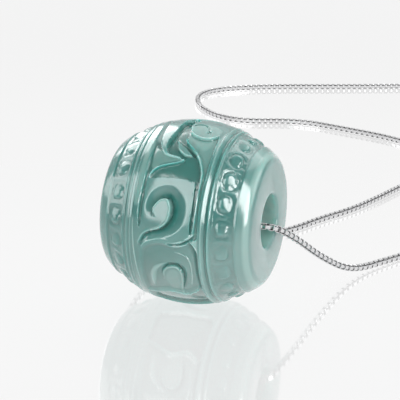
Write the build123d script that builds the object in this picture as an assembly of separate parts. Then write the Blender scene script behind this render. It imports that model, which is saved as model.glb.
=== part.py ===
from build123d import *

import os
from math import asin, cos, pi, radians, sin, sqrt, tan

# Carved jade barrel bead on a fine silver box chain, both lying on a table top.
# Millimetres, +Z up. The table top is Z = 0, the bore of the bead runs along X,
# and the belly of the bead rests at the origin.

# Bead: barrel
BELLY_DIAMETER = 18.0
BEAD_LENGTH = 15.3
CROWN_RADIUS = 11.5
END_ROUND = 1.0
BORE_DIAMETER = 5.2
BORE_LIP_ROUND = 0.3

# Bead: bands, measured along the bead from its middle
SCROLL_BAND_WIDTH = 6.5
RIDGE_WIDTH = 0.3
RIDGE_GROOVE_WIDTH = 0.5
RIDGE_GROOVE_DEPTH = 0.2
PEARL_BAND_WIDTH = 1.95
PEARL_BAND_DEPTH = 0.4
PEARL_DIAMETER = 1.6
PEARL_HEIGHT = 0.42
PEARLS_ROUND = 20

# Bead: relief of the cloud scrolls
SCROLL_DEPTH = 0.7
UNITS_ROUND = 2
CUT_CLEARANCE = 0.5

# Chain
CHAIN_WIDTH = 0.7
CHAIN_RUN_SHARE = 0.45

# Clasp: one plain ring with a collar for each end of the chain
CLASP_RING_DIAMETER = 6.0
CLASP_WIRE = 1.1
COLLAR_DIAMETER = 1.1
CLASP_GAP = 0.05

# Heights and radii that follow
BELLY_RADIUS = BELLY_DIAMETER / 2
AXIS_HEIGHT = BELLY_RADIUS
HALF_LENGTH = BEAD_LENGTH / 2
CROWN_CENTRE = BELLY_RADIUS - CROWN_RADIUS
HALF_BAND = SCROLL_BAND_WIDTH / 2
CHAIN_REST = CHAIN_WIDTH / 2

# Pockets of the cloud band: closed outlines cut straight down to the relief's floor.
# across is a share of half the cloud band, angle is in degrees round the bore,
# 0 at the front (-Y) and 90 at the top.
POCKETS = {
    "under_leaf": (
        # across, angle
        (-0.66, 37.5),
        (-0.52, 42.5),
        (-0.30, 45.2),
        (0.00, 47.6),
        (0.26, 50.4),
        (0.42, 53.8),
        (0.64, 49.5),
        (0.77, 43.5),
        (0.80, 33.0),
        (0.78, 12.0),
        (0.72, 10.0),
        (0.74, 24.0),
        (0.68, 38.0),
        (0.00, 37.4),
    ),
    "beside_leaf": (
        # across, angle
        (-0.40, 56.5),
        (-0.44, 63.0),
        (-0.32, 77.0),
        (-0.22, 91.0),
        (-0.02, 90.0),
        (-0.04, 80.0),
        (0.06, 72.0),
        (0.24, 66.5),
        (0.10, 65.0),
        (-0.18, 68.0),
        (-0.06, 59.0),
    ),
    "under_tail": (
        # across, angle
        (0.56, -3.2),
        (0.97, 3.0),
        (0.97, -14.0),
        (0.80, -8.0),
    ),
    "low_right": (
        # across, angle
        (0.56, -41.5),
        (0.78, -38.6),
        (0.97, -37.5),
        (0.97, -52.0),
        (0.60, -55.0),
        (0.20, -53.0),
        (0.30, -46.0),
    ),
    "left_channel": (
        # across, angle
        (-0.97, 34.0),
        (-0.83, 12.0),
        (-0.79, -4.0),
        (-0.74, -12.0),
        (-0.80, -28.0),
        (-0.84, -44.0),
        (-0.97, -48.0),
        (-0.97, -10.0),
    ),
    "upper_left": (
        # across, angle
        (-0.97, 104.0),
        (-0.93, 96.0),
        (-0.72, 84.0),
        (-0.66, 66.0),
        (-0.76, 52.0),
        (-0.97, 44.0),
        (-0.97, 74.0),
    ),
}

# Scroll grooves: the middle line of each cut, with its width as a share of half the band.
# Each three neighbouring rows make one arc of either edge.
GROOVES = {
    "middle_scroll": (
        # across, angle, width
        (-0.38, 16.5, 0.06),
        (-0.30, 25.0, 0.16),
        (0.02, 29.5, 0.30),
        (0.34, 26.5, 0.36),
        (0.42, 16.5, 0.36),
        (0.22, 5.5, 0.28),
        (-0.20, 1.5, 0.20),
        (-0.50, 1.0, 0.20),
        (-0.76, -5.5, 0.12),
    ),
    "low_scroll": (
        # across, angle, width
        (-0.10, -26.5, 0.05),
        (-0.06, -19.5, 0.09),
        (0.22, -16.2, 0.12),
        (0.50, -18.6, 0.14),
        (0.60, -26.0, 0.15),
        (0.60, -33.0, 0.14),
        (0.56, -38.5, 0.10),
    ),
    "top_scroll": (
        # across, angle, width
        (0.53, 77.5, 0.06),
        (0.46, 85.5, 0.08),
        (0.24, 88.5, 0.10),
        (0.06, 84.0, 0.12),
        (0.08, 74.0, 0.14),
        (0.45, 68.0, 0.18),
        (0.86, 72.0, 0.14),
        (0.97, 80.0, 0.10),
        (0.94, 88.0, 0.06),
    ),
}

# The chain's route, from the clasp round the far right, through the bore and back.
# Chosen points in millimetres: x, y, and the height of the chain's middle.
ROUTE = (
    # x, y, height
    (114.6, 53.0, CHAIN_REST),
    (108.5, 40.0, CHAIN_REST),
    (94.0, 30.0, CHAIN_REST),
    (75.0, 26.5, CHAIN_REST),
    (56.0, 29.5, CHAIN_REST),
    (40.0, 33.5, CHAIN_REST),
    (27.0, 31.0, CHAIN_REST),
    (19.6, 24.5, CHAIN_REST),
    (15.6, 17.6, CHAIN_REST),
    (12.9, 11.9, 0.6),
    (10.8, 7.5, 3.3),
    (9.0, 4.0, 6.3),
    (7.3, 0.4, 8.6),
    (0.3, 0.5, 7.35),
    (-6.6, 0.3, 7.4),
    (-9.4, 3.6, 6.6),
    (-8.8, 8.6, 3.3),
    (-5.2, 13.2, 0.8),
    (-0.6, 17.8, CHAIN_REST),
    (3.3, 22.6, CHAIN_REST),
    (5.2, 27.6, CHAIN_REST),
    (7.6, 32.2, CHAIN_REST),
    (9.2, 37.2, CHAIN_REST),
    (10.8, 43.2, CHAIN_REST),
    (13.2, 50.0, CHAIN_REST),
    (12.2, 58.0, CHAIN_REST),
    (5.6, 63.0, CHAIN_REST),
    (-2.0, 65.0, CHAIN_REST),
    (-9.0, 66.6, CHAIN_REST),
    (-17.0, 62.6, CHAIN_REST),
    (-24.0, 67.6, CHAIN_REST),
    (-26.6, 76.0, CHAIN_REST),
    (-20.0, 82.0, CHAIN_REST),
    (-8.5, 87.0, CHAIN_REST),
    (5.0, 93.6, CHAIN_REST),
    (22.0, 101.0, CHAIN_REST),
    (42.0, 105.5, CHAIN_REST),
    (64.0, 107.0, CHAIN_REST),
    (86.0, 102.0, CHAIN_REST),
    (103.0, 91.0, CHAIN_REST),
    (113.0, 76.5, CHAIN_REST),
    (114.6, 64.0, CHAIN_REST),
)


def crown(along, sunk=0.0):
    """Radius of the barrel's side at a place along the bore, less a depth of cut."""
    return CROWN_CENTRE + sqrt((CROWN_RADIUS - sunk) ** 2 - along**2)


def side_strip(inner, outer, depth):
    """Face of a ring cut into the barrel's side between two places along the bore."""
    skin = Circle(CROWN_RADIUS + CUT_CLEARANCE) - Circle(CROWN_RADIUS - depth)
    width = outer - inner
    strip = Pos((inner + outer) / 2, BELLY_RADIUS) * Rectangle(width, BELLY_RADIUS)
    return (Pos(0, CROWN_CENTRE) * skin) & strip


def barrel_blank():
    """The turned barrel: crowned side, rounded ends, ring cuts and a bore with rounded lips."""
    end_radius = crown(HALF_LENGTH)
    side = ThreePointArc((-HALF_LENGTH, end_radius), (0, BELLY_RADIUS), (HALF_LENGTH, end_radius))
    outline = side + Polyline(
        (HALF_LENGTH, end_radius),
        (HALF_LENGTH, BORE_DIAMETER / 2),
        (-HALF_LENGTH, BORE_DIAMETER / 2),
        (-HALF_LENGTH, end_radius),
    )
    section = make_face(outline)
    corners = section.vertices().sort_by(Axis.Y)
    section = fillet(corners[:2], BORE_LIP_ROUND)
    section = fillet(section.vertices().group_by(SortBy.DISTANCE)[-1], END_ROUND)
    groove_start = HALF_BAND + RIDGE_WIDTH
    groove_end = groove_start + RIDGE_GROOVE_WIDTH
    pearl_start = groove_end + RIDGE_WIDTH
    pearl_end = pearl_start + PEARL_BAND_WIDTH
    for side_sign in (1, -1):
        groove = side_strip(groove_start, groove_end, RIDGE_GROOVE_DEPTH)
        channel = side_strip(pearl_start, pearl_end, PEARL_BAND_DEPTH)
        for cut in (groove, channel):
            section -= cut if side_sign > 0 else mirror(cut, about=Plane.YZ)
    return revolve(section, Axis.X)


def pearls():
    """Domes seated in both pearl bands, all standing square to the barrel's side."""
    base_radius = PEARL_DIAMETER / 2
    dome_radius = (base_radius**2 + PEARL_HEIGHT**2) / (2 * PEARL_HEIGHT)
    band_start = HALF_BAND + 2 * RIDGE_WIDTH + RIDGE_GROOVE_WIDTH
    along = band_start + PEARL_BAND_WIDTH / 2
    tilt = asin(along / CROWN_RADIUS)
    centre_reach = CROWN_RADIUS - PEARL_BAND_DEPTH + PEARL_HEIGHT - dome_radius
    domes = []
    for number in range(PEARLS_ROUND):
        angle = radians((number + 0.5) * 360 / PEARLS_ROUND)
        out = CROWN_CENTRE + centre_reach * cos(tilt)
        for side_sign in (1, -1):
            place = (side_sign * centre_reach * sin(tilt), -out * cos(angle), out * sin(angle))
            domes.append(Pos(*place) * Sphere(dome_radius))
    return domes


def tangent_plane(angle):
    """Plane through the bore's line, seen square on from outside at an angle round it."""
    turn = radians(angle)
    return Plane(origin=(0, 0, 0), x_dir=(1, 0, 0), z_dir=(0, -cos(turn), sin(turn)))


def flat_place(across, angle, middle_angle):
    """Place of a charted point on the plane that faces the middle of its cut."""
    lift = crown(across * HALF_BAND) * sin(radians(angle - middle_angle))
    return Vector(across * HALF_BAND, lift)


def pocket_face(rows, middle_angle):
    """Flat face of a pocket's outline."""
    places = [flat_place(across, angle, middle_angle) for across, angle in rows]
    return make_face(Polyline(*places, close=True))


def groove_face(rows, middle_angle):
    """Flat face of a groove that swells and tapers along its middle line."""
    middles = [flat_place(across, angle, middle_angle) for across, angle, width in rows]
    left_edge = []
    right_edge = []
    last = len(rows) - 1
    for number, (across, angle, width) in enumerate(rows):
        along = middles[min(number + 1, last)] - middles[max(number - 1, 0)]
        square = Vector(-along.Y, along.X).normalized() * (width * HALF_BAND / 2)
        left_edge.append(middles[number] + square)
        right_edge.append(middles[number] - square)
    edges = [Line(left_edge[0], right_edge[0]), Line(left_edge[last], right_edge[last])]
    for start in range(0, last, 2):
        for edge in (left_edge, right_edge):
            edges.append(ThreePointArc(edge[start], edge[start + 1], edge[start + 2]))
    return make_face(Curve() + edges)


def relief_cutters():
    """All cuts of the cloud band, each a straight prism that stops at the relief's floor."""
    floor_section = make_face(
        ThreePointArc(
            (-HALF_BAND, crown(HALF_BAND, SCROLL_DEPTH)),
            (0, BELLY_RADIUS - SCROLL_DEPTH),
            (HALF_BAND, crown(HALF_BAND, SCROLL_DEPTH)),
        )
        + Polyline(
            (HALF_BAND, crown(HALF_BAND, SCROLL_DEPTH)),
            (HALF_BAND, 0),
            (-HALF_BAND, 0),
            (-HALF_BAND, crown(HALF_BAND, SCROLL_DEPTH)),
        )
    )
    floor = revolve(floor_section, Axis.X)
    charts = [(rows, pocket_face) for rows in POCKETS.values()]
    charts += [(rows, groove_face) for rows in GROOVES.values()]
    cutters = []
    for rows, face_maker in charts:
        angles = [row[1] for row in rows]
        middle_angle = (min(angles) + max(angles)) / 2
        face = face_maker(rows, middle_angle)
        for unit in range(UNITS_ROUND):
            plane = tangent_plane(middle_angle + unit * 360 / UNITS_ROUND)
            prism = extrude(plane * face, BELLY_RADIUS + CUT_CLEARANCE)
            cutters.append(prism - floor)
    return cutters


def jade_barrel():
    """The carved bead, resting on its belly."""
    bead = barrel_blank()
    for dome in pearls():
        bead += dome
    for cutter in relief_cutters():
        bead -= cutter
    return Pos(0, 0, AXIS_HEIGHT) * bead


def route_radii(points):
    """Arc radius at each inner point: 0.45 of the shorter run over the tangent of half the turn."""
    radii = []
    for before, here, after in zip(points, points[1:], points[2:]):
        arriving = here - before
        leaving = after - here
        half_turn = radians(arriving.get_angle(leaving)) / 2
        shorter = min(arriving.length, leaving.length)
        radii.append(CHAIN_RUN_SHARE * shorter / tan(half_turn))
    return radii


def box_chain():
    """The chain as a plain tube: straight runs joined by tangent arcs."""
    points = [Vector(*point) for point in ROUTE]
    radii = route_radii(points)
    print("chain radii", [round(radius, 1) for radius in radii])
    path = FilletPolyline(*points, radius=radii)
    start = Plane(origin=path @ 0, z_dir=path % 0)
    tube = sweep(start * Circle(CHAIN_WIDTH / 2), path=path)
    by_length = path.length * pi * (CHAIN_WIDTH / 2) ** 2
    print("chain length", round(path.length, 1))
    print("chain volume", round(tube.volume, 2), "by length", round(by_length, 2))
    return tube


def clasp():
    """The clasp: a ring lying flat, with a collar at either side for the chain's two ends."""
    first = Vector(*ROUTE[0])
    last = Vector(*ROUTE[-1])
    middle = (first + last) / 2
    line = (last - first).normalized()
    reach = (last - first).length / 2 - CLASP_GAP
    ring_reach = (CLASP_RING_DIAMETER - CLASP_WIRE) / 2
    body = Pos(middle.X, middle.Y, CLASP_WIRE / 2) * Torus(ring_reach, CLASP_WIRE / 2)
    for direction in (line, line * -1):
        outer_end = middle + direction * reach
        outer_end = Vector(outer_end.X, outer_end.Y, COLLAR_DIAMETER / 2)
        plane = Plane(origin=outer_end, z_dir=direction * -1)
        body += extrude(plane * Circle(COLLAR_DIAMETER / 2), reach - ring_reach)
    return body


os.makedirs("parts", exist_ok=True)
export_step(jade_barrel(), "parts/jade_barrel.step")
export_step(box_chain(), "parts/box_chain.step")
export_step(clasp(), "parts/clasp.step")
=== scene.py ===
"""The finished look of a carved jade barrel bead on a silver box chain.

The bead's bore runs along X, the bead rests on its belly at the origin, and the surface that
everything lies on is Z = 0. The bead, the chain and their charts are in millimetres until a mesh is
made, and the finishes, the lights and the camera are in metres.
"""

import logging
import math
from dataclasses import dataclass
from enum import Enum

import bpy
import numpy as np
from mathutils import Matrix, Vector


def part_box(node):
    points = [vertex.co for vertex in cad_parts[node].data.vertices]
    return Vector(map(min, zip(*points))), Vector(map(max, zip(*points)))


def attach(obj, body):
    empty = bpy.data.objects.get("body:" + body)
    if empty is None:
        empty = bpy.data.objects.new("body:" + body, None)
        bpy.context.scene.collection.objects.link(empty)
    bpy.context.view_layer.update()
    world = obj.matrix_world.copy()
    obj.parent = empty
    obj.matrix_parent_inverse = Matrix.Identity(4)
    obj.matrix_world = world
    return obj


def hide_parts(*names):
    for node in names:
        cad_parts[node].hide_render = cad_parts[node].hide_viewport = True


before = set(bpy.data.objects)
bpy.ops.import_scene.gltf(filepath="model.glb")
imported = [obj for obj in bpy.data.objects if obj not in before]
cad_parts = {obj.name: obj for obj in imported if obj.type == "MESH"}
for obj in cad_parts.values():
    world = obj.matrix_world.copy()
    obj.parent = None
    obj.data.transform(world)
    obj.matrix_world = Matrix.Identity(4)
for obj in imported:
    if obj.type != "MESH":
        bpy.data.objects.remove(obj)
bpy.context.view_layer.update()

LOG = logging.getLogger("jade_pendant")
MM = 0.001
BODY = "root"
IMAGE_PIXELS = 400
SENSOR_WIDTH_MM = 36.0

Colour = tuple[float, float, float, float]
Place = tuple[float, float, float]


class Side(Enum):
    """The side of a stroke, seen along its travel, on which its cut slopes up gently."""

    LEFT = 1.0
    RIGHT = -1.0


class Section(Enum):
    """The cross section of a carved stroke."""

    SLANTED = "steep on one side, sloping on the other"
    ROUND = "a round-bottomed groove"
    CREST = "a raised round ridge"


@dataclass(frozen=True)
class Stroke:
    """A carved line on the barrel's side.

    Rows are (across, angle, width, depth): across is along the bore from the middle, angle is in
    degrees round the bore with 0 at the front and 90 at the top, and the lengths are in millimetres.
    Lip is the height of the rim beside a slanted cut. Light is the share of painted highlight laid
    on the rim or crest.
    """

    name: str
    section: Section
    side: Side
    rows: tuple[tuple[float, float, float, float], ...]
    lip: float = 0.05
    light: float = 2.2


@dataclass(frozen=True)
class Level:
    """A closed outline inside which the side is cut down, or left standing, at one depth.

    Rows are (across, angle) as in a stroke. Depth and wall are in millimetres. Light and dark are
    the shares of painted light and painted shade laid into the stone's colour there.
    """

    name: str
    depth: float
    wall: float
    rows: tuple[tuple[float, float], ...]
    light: float = 0.0
    dark: float = 0.0


# The forms are carved in this order, so that a later one stands in the floor of an earlier one.
# Each form's light and dark paint light and shade into the jade's colour: painted highlights on lit faces
# and rims, painted shade in hollows.
FORMS: tuple[Level | Stroke, ...] = (
    Level("left_strip", depth=0.0, wall=0.30, light=1.1, rows=(
        (-3.40, 66), (-2.60, 66), (-2.56, 50), (-2.50, 36), (-2.54, 20), (-3.36, 20), (-3.40, 40),
    )),
    Level("disc_face", depth=0.0, wall=0.24, light=0.9, rows=(
        (0.10, 80), (0.42, 75), (1.40, 71.2), (2.20, 71.8), (2.86, 76), (3.00, 84), (2.20, 89),
        (1.00, 88), (0.24, 85),
    )),
    Level("beside_pad", depth=0.24, wall=0.14, dark=0.6, rows=(
        (-2.30, 62), (-2.10, 60), (-1.70, 56.5), (-1.20, 53.5), (-0.40, 52.3), (0.15, 51.7),
        (0.80, 50.6), (0.30, 48.4), (-0.26, 47), (-0.83, 45.8), (-1.40, 44.2), (-1.82, 41.9),
        (-2.09, 38.9), (-2.22, 35), (-2.20, 27), (-2.18, 19), (-2.22, 14), (-2.30, 8), (-2.50, 5),
        (-2.66, 10), (-2.70, 20), (-2.62, 33), (-2.62, 45), (-2.66, 56), (-2.60, 63),
    )),
    Stroke("beside_band", Section.SLANTED, Side.LEFT, lip=0.0, rows=(
        (-0.40, 52.2, 0.60, 0.10), (-1.20, 53.5, 1.00, 0.24), (-1.70, 56.5, 1.20, 0.34),
        (-2.10, 61, 0.90, 0.38), (-2.32, 67, 0.50, 0.36), (-2.46, 74, 0.42, 0.32),
        (-2.60, 83, 0.36, 0.28), (-2.86, 95, 0.30, 0.22), (-3.00, 108, 0.20, 0.16),
    )),
    Level("leaf_flank", depth=0.22, wall=0.18, light=0.9, rows=(
        (-2.10, 41.5), (-1.46, 45.6), (-0.85, 47.4), (-0.26, 48.6), (0.34, 49.8), (0.84, 51.2),
        (0.30, 52.6), (-0.40, 53.4), (-1.20, 54.6), (-1.70, 57.4), (-2.30, 59), (-2.46, 53),
        (-2.36, 46),
    )),
    Level("beside_leaf", depth=0.50, wall=0.12, rows=(
        (-0.60, 98), (-1.04, 92), (-1.16, 85), (-1.20, 75), (-1.36, 68.4), (-1.42, 63.6),
        (-1.30, 57.8), (-1.00, 54.4), (-0.36, 53), (0.20, 52.4), (0.90, 51), (1.90, 55),
        (1.38, 59.6), (0.72, 63.4), (0.30, 66.4), (0.40, 70), (0.40, 75), (0.16, 79), (-0.10, 84),
        (0.10, 90), (0.20, 96),
    )),
    Level("slot", depth=0.28, wall=0.07, dark=1.0, rows=(
        (2.84, 38), (2.85, 28.3), (2.86, 22.1), (2.84, 12.5), (2.74, 6.2), (2.58, 4.2), (2.50, 7.7),
        (2.53, 13.8), (2.57, 21.5), (2.56, 27.7), (2.50, 33.5), (2.46, 38),
    )),
    Level("deep_pocket", depth=0.32, wall=0.08, dark=1.0, rows=(
        (-2.17, 36), (-2.09, 38.8), (-1.82, 41.8), (-1.40, 44.1), (-0.83, 45.7), (-0.26, 46.9),
        (0.30, 48.3), (0.82, 50.5), (0.80, 53), (1.50, 55), (1.97, 54.3), (2.42, 49.5),
        (2.71, 44.6), (2.82, 40.4), (2.84, 34.6), (2.70, 32.5), (2.54, 33.6), (2.44, 37),
        (1.70, 37.7), (0.86, 37.9), (-0.11, 37.6), (-0.98, 37.1), (-1.72, 36.3),
    )),
    Level("small_leaf", depth=0.16, wall=0.16, light=0.5, rows=(
        (1.46, 53.9), (1.60, 55), (1.20, 57.8), (0.52, 61.4), (-0.16, 64.8), (-0.80, 68.4),
        (-0.56, 64), (-0.26, 59.2), (0.16, 56.4), (0.74, 54.3),
    )),
    Level("stem", depth=0.24, wall=0.10, light=0.75, rows=(
        (2.90, 1), (2.94, 12), (2.96, 22), (2.95, 34), (2.93, 41), (2.83, 46), (2.55, 51),
        (2.08, 56), (1.46, 60), (0.80, 63.8), (0.36, 66.8), (0.20, 71), (0.10, 77), (0.14, 79),
        (0.34, 75.2), (0.72, 72.6), (1.40, 71), (2.13, 71.6), (2.74, 75), (2.92, 77), (3.10, 74),
        (3.16, 67), (3.24, 58), (3.24, 40), (3.24, 20), (3.24, 1),
    )),
    Level("low_floor", depth=0.24, wall=0.50, dark=0.3, rows=(
        (-2.36, -9), (-1.84, -5.4), (-0.96, -2.4), (-0.20, -1.6), (0.54, -2.2), (1.10, -2.9),
        (1.74, -2.1), (2.30, -0.4), (2.72, 1.4), (3.20, 3.6), (3.40, -3), (3.40, -20),
        (3.40, -38.6), (2.90, -38.9), (2.50, -40.2), (1.90, -42), (1.07, -41), (0.25, -39.6),
        (-0.80, -42), (-1.60, -44.4), (-2.50, -46), (-2.52, -38), (-2.54, -28), (-2.50, -17),
    )),
    Level("low_corner", depth=0.04, wall=0.12, light=1.4, rows=(
        (2.62, -1), (3.00, 1.2), (3.28, 2.4), (3.30, -3), (3.30, -9), (2.98, -4.8),
    )),
    Level("low_disc", depth=0.20, wall=0.40, light=0.8, rows=(
        (-0.20, -30), (-0.14, -25), (0.40, -20.6), (1.00, -19.8), (1.50, -22.6), (1.60, -28),
        (1.46, -35), (1.20, -39.6), (0.30, -38.6),
    )),
    Level("disc_apron", depth=0.24, wall=0.50, light=1.2, rows=(
        (0.06, 77), (0.25, 71), (0.62, 66.4), (1.10, 62.8), (1.65, 60.4), (2.20, 59), (2.65, 60.4),
        (2.98, 64), (3.08, 70.5), (2.98, 76.5), (2.86, 76.6), (2.74, 75), (2.13, 71.6), (1.40, 71),
        (0.72, 72.6), (0.34, 75.2),
    )),
    Level("low_right", depth=0.44, wall=0.14, dark=0.8, rows=(
        (-2.50, -48), (-1.60, -46), (-0.80, -43.6), (0.25, -41.2), (1.07, -42.4), (1.76, -44.2),
        (2.30, -42.8), (2.66, -41.2), (3.22, -40.8), (3.22, -70), (1.00, -72), (-1.20, -71),
        (-2.50, -68),
    )),
    Level("low_hollow", depth=0.62, wall=0.34, dark=1.0, rows=(
        (1.90, -44.8), (2.60, -42.4), (3.16, -41.8), (3.24, -50), (3.20, -60), (2.50, -64),
        (1.60, -56),
    )),
    Level("disc_pit", depth=0.22, wall=0.14, dark=0.7, rows=(
        (1.64, 79), (1.94, 81.8), (2.22, 78.6), (1.92, 76.2),
    )),
    Stroke("middle_scroll", Section.SLANTED, Side.LEFT, rows=(
        (-1.04, 14.2, 0.30, 0.06), (-1.30, 15.6, 0.50, 0.24), (-1.29, 18.7, 0.70, 0.44),
        (-1.05, 21.6, 0.90, 0.60), (-0.68, 24.2, 1.06, 0.70), (-0.16, 25.6, 1.16, 0.74),
        (0.32, 24.8, 1.40, 0.70), (0.63, 21.3, 1.50, 0.70), (0.70, 16.8, 1.46, 0.70),
        (0.58, 12.5, 1.36, 0.68), (0.26, 8.8, 1.16, 0.66), (-0.26, 6, 0.90, 0.60),
        (-0.85, 4.3, 0.76, 0.54), (-1.43, 3, 0.70, 0.44), (-1.95, 0.4, 0.56, 0.32),
        (-2.36, -4.4, 0.40, 0.16),
    )),
    Stroke("scroll_tail", Section.SLANTED, Side.RIGHT, rows=(
        (0.60, -2.8, 0.30, 0.14), (1.10, -3.1, 0.44, 0.26), (1.74, -2.1, 0.50, 0.34),
        (2.30, -0.2, 0.46, 0.36), (2.72, 1.8, 0.36, 0.32), (3.10, 3.8, 0.26, 0.20),
    )),
    Stroke("tail_right", Section.SLANTED, Side.RIGHT, rows=(
        (2.26, 0.2, 0.50, 0.12), (2.60, -2, 0.80, 0.32), (2.94, -5.2, 1.00, 0.42),
        (3.18, -9.6, 0.90, 0.46), (3.26, -17, 0.80, 0.46), (3.26, -26, 0.70, 0.44),
        (3.24, -38, 0.60, 0.36),
    )),
    Stroke("low_scroll", Section.SLANTED, Side.LEFT, rows=(
        (-0.36, -28.6, 0.30, 0.16), (-0.38, -25.4, 0.44, 0.30), (-0.24, -22.2, 0.56, 0.40),
        (0.16, -19.2, 0.70, 0.48), (0.78, -17.7, 0.84, 0.54), (1.32, -18.5, 0.94, 0.56),
        (1.68, -21.2, 1.00, 0.56), (1.82, -25.6, 1.06, 0.54), (1.76, -31.4, 1.00, 0.48),
        (1.60, -36, 0.80, 0.38), (1.52, -39.4, 0.50, 0.20),
    )),
    Stroke("crescent", Section.CREST, Side.LEFT, light=1.3, rows=(
        (-1.50, -38, 0.50, 0.05), (-1.40, -32, 0.76, 0.12), (-1.26, -26.5, 0.84, 0.15),
        (-0.94, -21.6, 0.70, 0.14), (-0.40, -18.2, 0.46, 0.09), (0.20, -16.6, 0.30, 0.02),
    )),
    Stroke("top_hook", Section.ROUND, Side.RIGHT, rows=(
        (1.94, 78, 0.30, 0.10), (1.88, 80.6, 0.34, 0.16), (1.62, 84, 0.34, 0.16),
        (1.20, 86.4, 0.34, 0.14), (0.67, 86.2, 0.32, 0.12), (0.20, 84, 0.28, 0.08),
    )),
    Stroke("top_arm", Section.SLANTED, Side.LEFT, rows=(
        (-0.30, 99, 0.40, 0.50), (0.50, 101, 0.50, 0.40), (1.50, 101.5, 0.50, 0.24),
        (2.20, 100.5, 0.40, 0.08),
    )),
    Stroke("disc_rim", Section.CREST, Side.LEFT, rows=(
        (0.06, 82, 0.22, 0.04), (0.16, 78.5, 0.26, 0.07), (0.38, 75, 0.28, 0.08),
        (0.80, 72.4, 0.28, 0.08), (1.42, 71.2, 0.26, 0.08), (2.12, 71.8, 0.26, 0.08),
        (2.66, 75, 0.24, 0.07), (2.90, 79, 0.20, 0.03),
    )),
    Stroke("leaf_edge", Section.CREST, Side.LEFT, rows=(
        (-2.38, 72, 0.18, 0.02), (-2.26, 67, 0.20, 0.05), (-1.98, 61, 0.20, 0.06),
        (-1.60, 56.8, 0.20, 0.06), (-1.16, 53.9, 0.18, 0.06), (-0.38, 52.5, 0.14, 0.04),
    )),
    Stroke("leaf_rim", Section.CREST, Side.LEFT, rows=(
        (-2.20, 37.8, 0.14, 0.02), (-1.92, 41.8, 0.16, 0.07), (-1.44, 44.6, 0.16, 0.08),
        (-0.85, 46.3, 0.16, 0.08), (-0.26, 47.5, 0.14, 0.07), (0.34, 48.9, 0.12, 0.04),
    )),
    Stroke("stem_edge", Section.CREST, Side.LEFT, rows=(
        (-0.60, 69, 0.14, 0.02), (-0.10, 65.8, 0.16, 0.05), (0.66, 62.6, 0.16, 0.05),
        (1.42, 58.8, 0.16, 0.05), (2.03, 54.8, 0.16, 0.05), (2.48, 49.8, 0.16, 0.05),
        (2.77, 44.8, 0.16, 0.05), (2.88, 40.4, 0.16, 0.05), (2.90, 30, 0.16, 0.05),
        (2.91, 20, 0.16, 0.05), (2.88, 12.5, 0.16, 0.05), (2.78, 6.2, 0.14, 0.03),
    )),
    Stroke("small_leaf_rim", Section.CREST, Side.LEFT, rows=(
        (-0.10, 59.2, 0.16, 0.04), (0.24, 57, 0.18, 0.08), (0.76, 55, 0.18, 0.08),
        (1.34, 54.7, 0.16, 0.05),
    )),
    Stroke("tail_edge", Section.CREST, Side.LEFT, rows=(
        (-2.20, -6.6, 0.16, 0.03), (-1.81, -3.4, 0.18, 0.06), (-0.96, -0.6, 0.18, 0.06),
        (-0.20, 0.5, 0.18, 0.05), (0.54, 0.2, 0.16, 0.02),
    )),
    Stroke("low_arm_edge", Section.CREST, Side.LEFT, rows=(
        (1.13, -7.9, 0.16, 0.02), (1.83, -9.2, 0.20, 0.06), (2.36, -12, 0.20, 0.08),
        (2.62, -17.6, 0.20, 0.08), (2.62, -25.7, 0.20, 0.08), (2.40, -33.9, 0.18, 0.05),
    )),
    Stroke("low_edge", Section.CREST, Side.LEFT, rows=(
        (-0.75, -42.2, 0.16, 0.03), (0.25, -40.2, 0.18, 0.06), (1.07, -41.4, 0.20, 0.08),
        (1.76, -43.2, 0.20, 0.08), (2.26, -42, 0.20, 0.08), (2.64, -40.2, 0.20, 0.08),
        (3.16, -39.8, 0.16, 0.04),
    )),
    Stroke("left_line", Section.CREST, Side.LEFT, rows=(
        (-3.18, 12, 0.18, 0.01), (-3.14, 5, 0.20, 0.05), (-3.04, -9, 0.22, 0.07),
        (-2.92, -22, 0.22, 0.07), (-2.84, -34, 0.20, 0.06), (-2.82, -48, 0.16, 0.02),
    )),
)

# Depth over the fine ridges beside the cloud band, as (distance from the bead's middle, depth).
RIGHT_RIDGES = (
    (3.10, 0.00), (3.30, 0.02), (3.40, 0.04), (3.46, -0.05), (3.50, -0.06), (3.80, 0.07),
    (3.86, 0.16), (3.98, 0.17), (4.04, 0.05), (4.09, -0.03), (4.13, -0.04), (4.25, 0.01),
    (4.35, 0.10), (4.61, 0.00),
)
LEFT_RIDGES = (
    (3.20, 0.00), (3.36, 0.02), (3.44, -0.02), (3.50, -0.05), (3.54, -0.03), (3.60, 0.06),
    (3.68, 0.06), (3.78, 0.00), (3.90, -0.02), (4.02, 0.02), (4.12, 0.12), (4.24, 0.12),
    (4.30, 0.10), (4.40, 0.00),
)

# The chain's route, as in the model of the pieces: chosen points (x, y, height) in millimetres.
REST = 0.35
ROUTE_MM = (
    (114.6, 53.0, REST), (108.5, 40.0, REST), (94.0, 30.0, REST), (75.0, 26.5, REST),
    (56.0, 29.5, REST), (40.0, 33.5, REST), (27.0, 31.0, REST), (19.6, 24.5, REST),
    (15.6, 17.6, REST), (12.9, 11.9, 0.6), (10.8, 7.5, 3.3), (9.0, 4.0, 6.3),
    (7.3, 0.4, 8.6), (0.3, 0.5, 7.35), (-6.6, 0.3, 7.4), (-9.4, 3.6, 6.6),
    (-8.8, 8.6, 3.3), (-5.2, 13.2, 0.8), (-0.6, 17.8, REST), (3.3, 22.6, REST),
    (5.2, 27.6, REST), (7.6, 32.2, REST), (9.2, 37.2, REST), (10.8, 43.2, REST),
    (13.2, 50.0, REST), (12.2, 58.0, REST), (5.6, 63.0, REST), (-2.0, 65.0, REST),
    (-9.0, 66.6, REST), (-17.0, 62.6, REST), (-24.0, 67.6, REST), (-26.6, 76.0, REST),
    (-20.0, 82.0, REST), (-8.5, 87.0, REST), (5.0, 93.6, REST), (22.0, 101.0, REST),
    (42.0, 105.5, REST), (64.0, 107.0, REST), (86.0, 102.0, REST), (103.0, 91.0, REST),
    (113.0, 76.5, REST), (114.6, 64.0, REST),
)


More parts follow.
